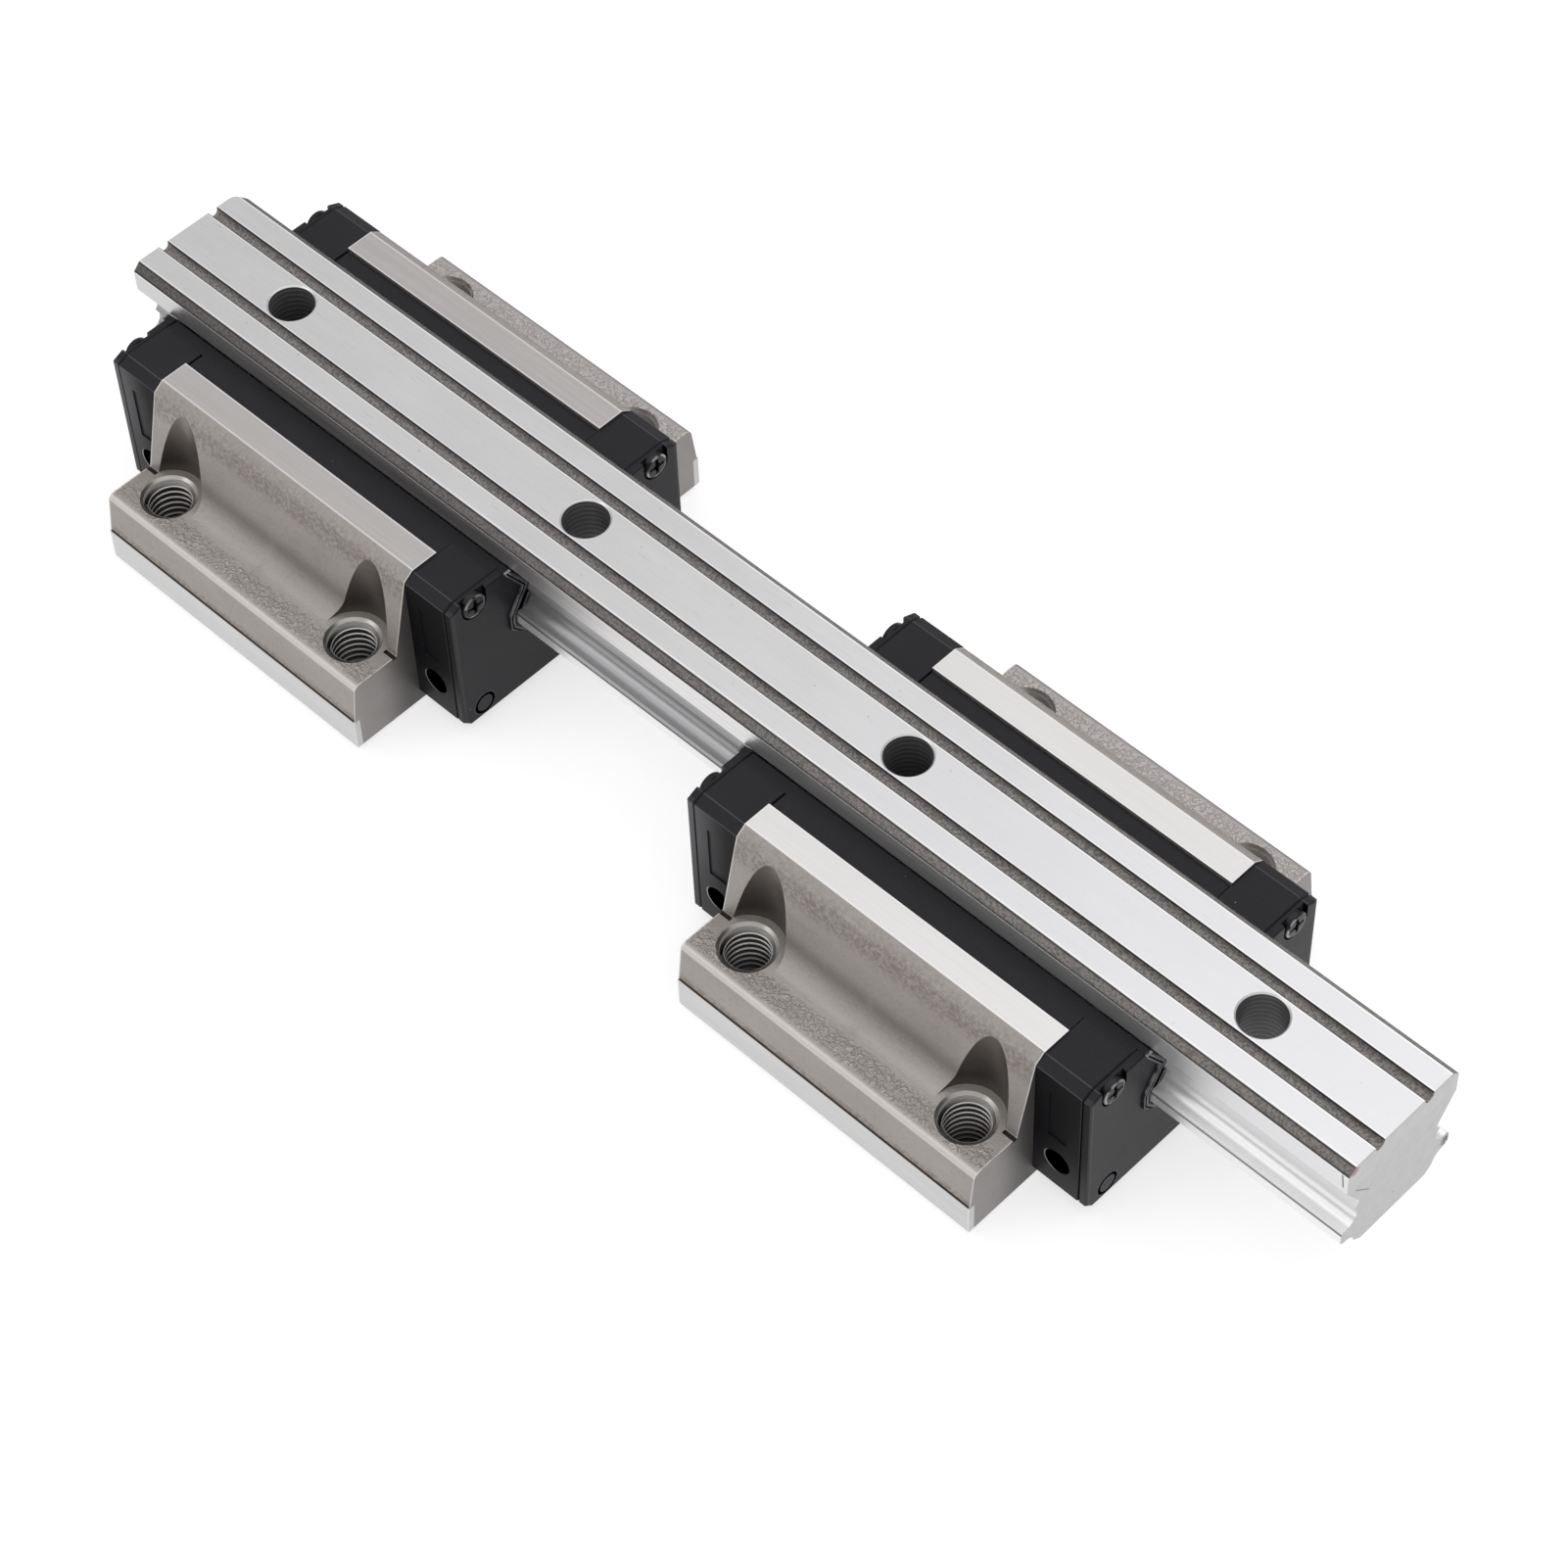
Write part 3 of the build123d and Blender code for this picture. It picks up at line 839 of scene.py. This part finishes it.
@dataclass(frozen=True)
class PlasticFinish:
    """Satin black moulding with faint grain, dust specks, painted highlights on its edges and painted light and
    shade on its sides and in its holes and gaps: a cap, a seal or a strip.
    """

    name: str
    centre_x: float
    tone: Colour
    roughness: float
    gloss: float = 0.2
    size: EndSize = EndSize()
    tones: PlasticTones = PlasticTones()
    edges: bool = True
    marks: bool = False

    def build(self) -> Material:
        """Builds the material."""
        g, s, t = Graph(self.name), self.size, self.tones
        grain = g.noise((1.6, 1.6, 1.6), 3.0, 0.6)
        cloud = g.noise((0.09, 0.09, 0.09), 3.0, 0.6, shift=3.0)
        dust = (~g.rise(g.cells(0.33, 4.0), 0.02, 0.06)
                & g.rise(g.noise((0.3, 0.3, 0.3), 2.0, shift=9.0), 0.56, 0.66))
        colour = g.layers(
            g.mix(cloud, self.tone, self.lighter(1.5)),
            (g.rise(grain, 0.4, 0.8) * 0.3, self.lighter(2.0)),
            (dust * 0.6, t.dust))
        if self.edges:
            # Painted highlights along the edges.
            colour = g.layers(colour, (self.edge_highlight_mask(g) * 0.5, t.edge))
        along = g.x - self.centre_x
        colour, black = self.seal(g, colour, along) if self.marks else self.port(g, colour, along)
        # Painted light on the sides of the left caps and painted shade on those of the right caps.
        sideways = g.rise(abs(g.ny), 0.75, 0.95)
        left = ~g.rise(along, *s.left_x)
        colour = g.layers(colour, (sideways & left & g.rise(g.z, *s.sheen_z) * 0.8, t.sheen))
        shade = sideways & ~left & g.spread(g.rise(g.z, *s.shade_z), 0.1, 0.6)
        joint = g.band(abs(along), s.split_x - 0.14, s.split_x + 0.10) & g.rise(abs(g.ny), 0.5, 0.7)
        # Painted shade where the mask is 1: inside the port, in the ring groove and the lip's gaps, and on the
        # right caps' sides; the joint is dark.
        g.darken(black | shade | joint)
        rough = g.spread(cloud, self.roughness - 0.04, self.roughness + 0.06)
        return g.finish(Base_Color=colour, Roughness=rough, Metallic=0.0, Specular_IOR_Level=self.gloss,
                        Normal=g.bump(grain, 0.03))

    def lighter(self, times: float) -> Colour:
        """The moulding's tone, that many times as light."""
        return tuple(times * c for c in self.tone)

    def edge_highlight_mask(self, g: Graph) -> Value:
        """Mask of the painted highlights on the edges beside the top face and under the shoulder."""
        s, ay = self.size, abs(g.y)
        top = g.band(ay, -0.12, 0.12, at=s.top_y) & g.rise(g.z, -0.15, -0.05, s.top_z)
        shoulder = g.band(g.z, -0.1, 0.1, at=s.shoulder_z) & g.rise(ay, -0.2, -0.1, s.side_y)
        return top | shoulder

    def seal(self, g: Graph, colour: Value, along: Value) -> tuple[Value, Value]:
        """Adds the ring mark and the lip of a seal, with painted highlights on its upright edge and lip, and
        painted shade in its ring groove and gaps.

        Args:
            g: Graph of the material.
            colour: Colour so far.
            along: X from the carriage's middle.

        Returns:
            The colour, and the mask of what gets painted shade.
        """
        s, t, ax, ay = self.size, self.tones, abs(along), abs(g.y)
        upright = g.band(ay, -0.9, 0.1, at=s.side_y) & g.rise(ax, 0.3, 0.5, s.split_x)
        mark = g.ring(ay - s.mark_y, g.z - s.mark_z)
        proud = g.rise(ax, 0.05, 0.12, s.face_x)
        # Patches of wear, which also place the painted highlights.
        wear_and_glint = g.rise(g.noise((0.5, 0.5, 0.5), 2.0, shift=6.0), 0.42, 0.60)
        turned = ~g.rise(abs(g.nx), 0.5, 0.8)
        facing = g.rise(abs(g.nx), 0.6, 0.9) & proud
        gap = g.chain(ay, g.z, s.rail_flank)
        # Painted highlights along the lip's ridges.
        ridges = (g.band(gap, *s.lip_ridge) | g.band(gap, -0.24, 0.1, at=s.lip_reach)) & facing
        colour = g.layers(
            colour,
            # Painted highlight on the seal's upright edge.
            (upright * 0.6, t.upright),
            (g.band(mark, 0.0, 0.3, 0.08, s.mark_radius), self.lighter(4.0)),
            (~g.rise(mark, -0.5, -0.4, s.mark_radius), self.lighter(2.0)),
            (proud, t.lip),
            # Painted highlights on the lip's corner, sides and ridges, in patches.
            (proud & g.rise(ax, -0.08, -0.04, s.lip_x) & turned, t.lip_corner_glint),
            (g.band(ax, s.face_x + 0.05, s.lip_x) & turned & wear_and_glint, t.lip_side_glint),
            (ridges & g.spread(wear_and_glint, 0.25, 1.0), t.ridge))
        # Painted shade in the ring groove and in the lip's gaps round the rail.
        ring = g.band(mark, -0.6, 0.0, 0.1, s.mark_radius) & ~proud
        return colour, ring | (g.band(gap, *s.lip_gap) & facing) | (~g.rise(gap, *s.rail_gap) & facing)

    def port(self, g: Graph, colour: Value, along: Value) -> tuple[Value, Value]:
        """Adds the round side port of a cap, with a painted highlight on its rim and painted shade inside, with the
        arguments and results of seal.
        """
        s = self.size
        port = g.ring(abs(along) - s.port_x, g.z - s.port_z)
        across = along - g.math("SIGN", along) * s.port_x
        # Painted highlight on the port's lower rim.
        rim_glint = (g.band(port, 0.06, 0.32, at=s.port_radius) & ~g.rise(across, -1.6, 0.4)
               & ~g.rise(g.z, 0.5, 2.2, s.port_z))
        colour = g.layers(colour, (rim_glint & g.rise(abs(g.ny), 0.75, 0.95), self.tones.port_rim_glint))
        # Painted shade inside the port.
        return colour, ~g.rise(port, 0.02, 0.06, s.port_radius)


@dataclass(frozen=True)
class ScrewFinish:
    """Blackened screw steel with bright rims of wear and painted highlights."""

    name: str = "screw_black"
    size: EndSize = EndSize()
    steel: Tones = ((0.012, 0.012, 0.013), (0.03, 0.03, 0.032))
    # Bare steel and painted highlight on the rim.
    bright: Colour = (0.5, 0.5, 0.5)

    def build(self) -> Material:
        """Builds the material."""
        g, s = Graph(self.name), self.size
        grain = g.noise((2.0, 2.0, 2.0), 3.0, 0.6)
        out = g.ring(abs(g.y) - s.screw_y, g.z - s.screw_z)
        # Bright rim of wear with painted highlights, patchy by noise.
        wear_and_glint = (g.band(out, -0.55, -0.2, 0.12, s.head_radius)
                & g.rise(g.noise((0.3, 0.45, 0.45), 1.0, shift=2.5), 0.40, 0.56))
        return g.finish(Base_Color=g.layers(g.mix(grain, *self.steel), (wear_and_glint * 0.7, self.bright)),
                        Roughness=g.spread(grain, 0.29, 0.40), Metallic=0.75, Normal=g.bump(grain, 0.03))


def add(name: str, data: bpy.types.ID) -> Object:
    """Puts a new object with that data into the scene."""
    made = bpy.data.objects.new(name, data)
    bpy.context.scene.collection.objects.link(made)
    return made


class NodeTool(Nodes):
    """A Geometry Nodes tree that is built once, run on a carrier mesh and made real."""

    def __init__(self, name: str) -> None:
        """Starts an empty tree.

        Args:
            name: Name of the tree.
        """
        super().__init__(bpy.data.node_groups.new(name, "GeometryNodeTree"))
        self.tree.interface.new_socket("Geometry", in_out="INPUT", socket_type="NodeSocketGeometry")
        self.tree.interface.new_socket("Geometry", in_out="OUTPUT", socket_type="NodeSocketGeometry")
        self.inputs = self.node("NodeGroupInput")
        self.outputs = self.node("NodeGroupOutput")
        self.names: dict[str, str] = {}

    def math(self, operation: str, *terms: object) -> NodeSocket:
        """Scalar maths on sockets and numbers."""
        return self.node("ShaderNodeMath", dict(enumerate(terms)), operation=operation).outputs[0]

    def number(self, name: str, kind: str = "Float") -> NodeSocket:
        """Adds a named input.

        Args:
            name: Name of the input.
            kind: Socket kind: Float, Object or Material.

        Returns:
            The socket to read it from.
        """
        made = self.tree.interface.new_socket(name, in_out="INPUT", socket_type=f"NodeSocket{kind}")
        self.names[name] = made.identifier
        return self.inputs.outputs[name]

    def place(self, instance: NodeSocket, material: NodeSocket, **inputs: NodeSocket) -> None:
        """Ends the tree with an instance at each point, made real and in one material."""
        placed = self.node("GeometryNodeInstanceOnPoints", {"Points": self.inputs.outputs["Geometry"],
                                                            "Instance": instance, **inputs})
        real = self.node("GeometryNodeRealizeInstances", {0: placed.outputs[0]})
        dressed = self.node("GeometryNodeSetMaterial", {"Geometry": real.outputs[0], "Material": material})
        self.feed(self.outputs.inputs[0], dressed.outputs[0])

    def run(self, name: str, points: Sequence[Vector], **values: object) -> Object:
        """Runs the tree on points and keeps the result as a plain mesh.

        Args:
            name: Name of the new piece.
            points: Places, in metres.
            **values: Values of the named inputs.

        Returns:
            The piece, at the origin and unturned.
        """
        carrier = bpy.data.meshes.new(name + "_points")
        carrier.from_pydata([tuple(p) for p in points], [], [])
        piece = add(name, carrier)
        modifier = piece.modifiers.new("nodes", "NODES")
        modifier.node_group = self.tree
        for key, value in values.items():
            modifier[self.names[key]] = value
        shown = piece.evaluated_get(bpy.context.evaluated_depsgraph_get())
        mesh = bpy.data.meshes.new_from_object(shown)
        piece.modifiers.clear()
        piece.data = mesh
        mesh.name = name
        bpy.data.meshes.remove(carrier)
        return piece


def thread_tool() -> NodeTool:
    """Helical ridge with a trapezoid profile, one at each point."""
    steps, root_share, crest_share = 40, 0.86, 0.16
    tool = NodeTool("thread_ridges")
    radius, crest, pitch, turns = (tool.number(n) for n in ("radius", "crest", "pitch", "turns"))
    material = tool.number("material", "Material")
    height = tool.math("MULTIPLY", pitch, turns)
    depth = tool.math("SUBTRACT", radius, crest)
    middle = tool.math("MULTIPLY_ADD", depth, -0.5, radius)
    helix = tool.node("GeometryNodeCurveSpiral", {"Resolution": steps, "Rotations": turns, "Start Radius": middle,
                                                  "End Radius": middle, "Height": height})
    upright = tool.node("GeometryNodeSetCurveNormal", {0: helix.outputs[0]})
    upright.mode = "Z_UP"
    wide, narrow = (tool.math("MULTIPLY", pitch, share) for share in (root_share, crest_share))
    profile = tool.node("GeometryNodeCurvePrimitiveQuadrilateral", mode="TRAPEZOID")
    for name, socket in (("Height", depth), ("Bottom Width", wide), ("Top Width", narrow)):
        tool.feed(next(i for i in profile.inputs if i.name == name and i.enabled), socket)
    profile.inputs["Offset"].default_value = 0.0
    turned = tool.node("GeometryNodeTransform", {"Geometry": profile.outputs[0],
                                                 "Rotation": (0.0, 0.0, math.radians(-90))})
    ridge = tool.node("GeometryNodeCurveToMesh", {0: upright.outputs[0], 1: turned.outputs[0], "Fill Caps": True})
    tool.place(ridge.outputs[0], material)
    return tool


def screw_tool() -> NodeTool:
    """Copies of a master screw head, one at each point, all turned alike."""
    tool = NodeTool("screw_heads")
    master, turn = tool.number("master", "Object"), tool.number("turn")
    material = tool.number("material", "Material")
    info = tool.node("GeometryNodeObjectInfo", {"Object": master})
    rotation = tool.node("ShaderNodeCombineXYZ", {"Z": turn})
    tool.place(info.outputs["Geometry"], material, Rotation=rotation.outputs[0])
    return tool


@dataclass(frozen=True)
class ScrewHead:
    """Pan head with a cross recess, whose axis is X, in millimetres."""

    radius: float = 2.75
    height: float = 1.35
    rim_radius: float = 0.55
    recess_length: float = 1.75
    recess_width: float = 0.34
    recess_depth: float = 1.4
    recess_rise: float = 0.45
    hub_radius: float = 0.8
    hub_flare: float = 0.25
    wall_slope: float = 0.14
    tip_slope: float = 0.18
    crown: float = 0.10
    rings: int = 26
    spokes: int = 96

    def surface(self, r: float, angle: float) -> float:
        """Height of the head over its seat.

        Args:
            r: Distance from the axis.
            angle: Direction round the axis.

        Returns:
            The height.
        """
        edge = max(0.0, r - (self.radius - self.rim_radius)) / self.rim_radius
        top = self.height - self.rim_radius * (1.0 - math.sqrt(max(0.0, 1.0 - min(edge, 1.0) ** 2)))
        top -= self.crown * (r / self.radius) ** 2
        across = r * abs(math.sin(2.0 * angle)) / 2.0
        reach = r * max(abs(math.cos(angle)), abs(math.sin(angle)))
        width = self.recess_width + self.hub_flare * max(0.0, self.hub_radius - r)
        inside = min((width - across) / self.wall_slope, (self.recess_length - reach) / self.tip_slope)
        floor = 1.0 - self.recess_rise * min(1.0, r / self.recess_length)
        return top - self.recess_depth * min(1.0, max(0.0, inside)) * floor

    def build(self) -> Object:
        """Builds the head as a closed mesh that is kept out of the scene."""
        verts: list[tuple] = [(self.surface(0.0, 0.0) * MM, 0.0, 0.0)]
        faces: list[tuple] = []
        angles = [2.0 * math.pi * spoke / self.spokes for spoke in range(self.spokes)]
        for ring in range(1, self.rings + 1):
            r = self.radius * ring / self.rings
            verts += [(self.surface(r, a) * MM, r * math.cos(a) * MM, r * math.sin(a) * MM) for a in angles]
        seat = len(verts)
        verts += [(0.0, self.radius * math.cos(a) * MM, self.radius * math.sin(a) * MM) for a in angles]
        verts.append((0.0, 0.0, 0.0))
        for spoke in range(self.spokes):
            after = (spoke + 1) % self.spokes
            faces.append((0, 1 + spoke, 1 + after))
            for ring in range(self.rings - 1):
                a, b = 1 + ring * self.spokes, 1 + (ring + 1) * self.spokes
                faces.append((a + spoke, b + spoke, b + after, a + after))
            last = 1 + (self.rings - 1) * self.spokes
            faces.append((last + spoke, seat + spoke, seat + after, last + after))
            faces.append((len(verts) - 1, seat + after, seat + spoke))
        mesh = bpy.data.meshes.new("screw_master")
        mesh.from_pydata(verts, [], faces)
        mesh.validate()
        return bpy.data.objects.new("screw_master", mesh)


def smooth(piece: Object, degrees: float) -> None:
    """Shades a piece smooth below an angle between faces."""
    piece.data.shade_smooth()
    piece.data.set_sharp_from_angle(angle=math.radians(degrees))


@dataclass
class Rail:
    """The profile rail."""

    node: Object
    size: RailSize = RailSize()

    def dress(self) -> None:
        """Gives the rail its finish."""
        assign(self.node, RailFinish(self.size).build())
        log.info("rail dressed")


# Ground leg faces of each carriage, by the last letter of its name; carriage b's lighter pair is painted light.
LEG_TONES: dict[str, Tones] = {"a": (srgb(176, 172, 170), srgb(196, 192, 190)),
                               "b": (srgb(218, 215, 214), srgb(228, 226, 225))}
CAP_BLACK: Colour = (0.011, 0.011, 0.0135)
SEAL_BLACK: Colour = (0.010, 0.010, 0.0125)


@dataclass
class Carriage:
    """One carriage: block, caps, seals and strips, with its screws and threads."""

    name: str
    centre_x: float
    nodes: dict[str, Object]
    block: BlockSize = BlockSize()
    end: EndSize = EndSize()

    def dress(self, shift: float) -> None:
        """Gives the solids their finishes.

        Args:
            shift: Moves the steel's pattern from the other carriage's.
        """
        middle, letter = self.centre_x / MM, self.name[-1]
        finishes = (
            BlockFinish(self.block, middle, shift, LEG_TONES[letter], f"{Slot.BLOCK.value}_{letter}"),
            PlasticFinish(f"{Slot.CAP.value}_{letter}", middle, CAP_BLACK, 0.46),
            PlasticFinish(f"{Slot.SEAL.value}_{letter}", middle, SEAL_BLACK, 0.44, marks=True),
            PlasticFinish(f"{Slot.STRIP.value}_{letter}", middle, CAP_BLACK, 0.46, edges=False),
        )
        looks = {finish.name.split("_")[0]: finish.build() for finish in finishes}
        for part, node in self.nodes.items():
            assign(node, looks[part.split("_")[0]])
        log.info("%s dressed", self.name)

    def add_threads(self, tool: NodeTool) -> Object:
        """Adds the ridges of the four tapped holes."""
        b = self.block
        material = ThreadFinish(b, self.centre_x / MM, f"thread_steel_{self.name[-1]}").build()
        margin = b.mouth_break + 0.35
        turns = (b.flange_z - 2 * margin) / b.thread_pitch
        points = [Vector((self.centre_x + i * b.hole_x * MM, j * b.hole_y * MM, margin * MM))
                  for i in (-1, 1) for j in (-1, 1)]
        piece = tool.run(f"{self.name}_threads", points, radius=b.hole_radius * MM, crest=b.crest_radius * MM,
                         pitch=b.thread_pitch * MM, turns=turns, material=material)
        smooth(piece, 30)
        return self.attach(piece, Slot.BLOCK)

    def add_screws(self, tool: NodeTool, material: Material, head: Object) -> Iterable[Object]:
        """Adds the two seal screws of each end."""
        e = self.end
        for side in Side:
            points = [Vector((self.centre_x + side.value * e.floor_x * MM, j * e.screw_y * MM, e.screw_z * MM))
                      for j in (-1, 1)]
            turn = 0.0 if side is Side.RIGHT else math.pi
            piece = tool.run(f"{self.name}_screws_{side.name.lower()}", points, master=head, turn=turn,
                             material=material)
            smooth(piece, 40)
            yield self.attach(piece, Slot.BLOCK)

    def attach(self, piece: Object, slot: Slot) -> Object:
        """Makes a new piece ride on the carriage."""
        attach(piece, self.name)
        log.info("%s: %d faces", piece.name, len(piece.data.polygons))
        return piece


def assign(node: Object, material: Material) -> None:
    """Puts one material in every slot of a solid."""
    for slot in node.material_slots:
        slot.material = material
    if not node.material_slots:
        node.data.materials.append(material)


@dataclass(frozen=True)
class Softbox:
    """A rectangular area light that points at the middle of the guide."""

    name: str
    place: tuple
    size: tuple
    power: float
    target: tuple = (0.0, 0.0, 0.02)

    def build(self) -> None:
        """Adds the light to the scene."""
        data = bpy.data.lights.new(self.name, "AREA")
        data.shape = "RECTANGLE"
        data.size, data.size_y = self.size
        data.energy = self.power
        lamp = add(self.name, data)
        lamp.location = self.place
        lamp.rotation_euler = (Vector(self.target) - Vector(self.place)).to_track_quat("-Z", "Y").to_euler()


@dataclass(frozen=True)
class Studio:
    """Camera, floor and light of the photograph.

    The floor has a base tone and a glow where it is seen, and is a plain pale tone for the light it sends up.
    """

    lens: float = 98.225
    place: tuple = (0.35504, -0.33159, 0.62317)
    right: tuple = (0.7168621, 0.6966509, -0.0280414)
    up: tuple = (-0.5380901, 0.5783809, 0.6131351)
    back: tuple = (0.4433597, -0.4244445, 0.7894803)
    floor_seen: tuple = (0.45, 0.68)
    floor_unseen: float = 0.9
    sky: tuple = ((0.0, 0.4), (0.35, 0.45), (0.64, 0.66), (0.84, 1.2), (1.0, 1.4))

    def add_camera(self) -> None:
        """Sets up the camera that took the photograph."""
        data = bpy.data.cameras.new("camera")
        data.lens = self.lens
        data.sensor_width = 36.0
        data.clip_start, data.clip_end = 0.01, 50.0
        camera = add("camera", data)
        axes = Matrix((self.right, self.up, self.back)).transposed().to_4x4()
        camera.matrix_world = Matrix.Translation(self.place) @ axes
        bpy.context.scene.camera = camera

    def add_floor(self) -> None:
        """Lays a pale floor under the guide, wide enough to reach the horizon."""
        mesh = bpy.data.meshes.new("floor")
        reach, drop = 30.0, -0.00005
        corners = [(i * reach, j * reach, drop) for i, j in ((-1, -1), (1, -1), (1, 1), (-1, 1))]
        mesh.from_pydata(corners, [], [(0, 1, 2, 3)])
        floor = add("floor", mesh)
        g = Graph("floor")
        path = g.node("ShaderNodeLightPath")
        rays = (path.outputs[f"Is {ray} Ray"] for ray in ("Camera", "Glossy", "Transmission"))
        camera, glossy, through = (Value(g, ray) for ray in rays)
        seen = camera | glossy | through
        lit, glow = ((level,) * 3 for level in self.floor_seen)
        mesh.materials.append(g.finish(Base_Color=g.mix(seen, (self.floor_unseen,) * 3, lit), Roughness=0.9,
                                       Specular_IOR_Level=0.0, Emission_Strength=1.0,
                                       Emission_Color=g.mix(seen, (0.0, 0.0, 0.0), glow)))
        floor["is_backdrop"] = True

    def add_light(self) -> None:
        """Adds the surrounding light and the soft boxes."""
        world = bpy.data.worlds.new("studio")
        world.use_nodes = True
        nodes = Nodes(world.node_tree)
        where = nodes.node("ShaderNodeTexCoord").outputs["Generated"]
        split = nodes.node("ShaderNodeSeparateXYZ", {0: where})
        ramp = nodes.node("ShaderNodeValToRGB", {"Fac": split.outputs["Z"]})
        for i, (at, level) in enumerate(self.sky):
            stop = ramp.color_ramp.elements[i] if i < 2 else ramp.color_ramp.elements.new(at)
            stop.position = at
            stop.color = (level, level, level * 1.01, 1.0)
        around = nodes.node("ShaderNodeBackground", {"Color": ramp.outputs["Color"]})
        nodes.node("ShaderNodeOutputWorld", {"Surface": around.outputs[0]})
        bpy.context.scene.world = world
        Softbox("key", (0.5, 1.0, 1.6), (1.4, 1.2), 4.0).build()
        Softbox("fill", (-0.9, -1.3, 1.0), (1.2, 0.8), 3.0).build()

    def set_view(self) -> None:
        """Leaves colours as they are rendered."""
        bpy.context.scene.view_settings.view_transform = "Standard"


def main() -> Sequence:
    """Builds the scene.

    Returns:
        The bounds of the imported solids.
    """
    logging.basicConfig(level=logging.INFO, format="%(name)s: %(message)s")
    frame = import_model()
    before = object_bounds()
    nodes = frame["nodes"]
    studio = Studio()
    studio.add_camera()
    studio.add_floor()
    studio.add_light()
    studio.set_view()

    Rail(nodes["rail"]).dress()
    threads, screws = thread_tool(), screw_tool()
    screw_steel, head = ScrewFinish().build(), ScrewHead().build()
    for index, name in enumerate(("carriage_a", "carriage_b")):
        low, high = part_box(f"{name}_block")
        parts = {key[len(name) + 1:]: node for key, node in nodes.items() if key.startswith(name)}
        carriage = Carriage(name, (low.x + high.x) / 2, parts)
        carriage.dress(11.0 * index)
        carriage.add_threads(threads)
        for piece in carriage.add_screws(screws, screw_steel, head):
            log.info("%s rides on %s", piece.name, name)
    return before


if __name__ == "__main__":
    first = main()
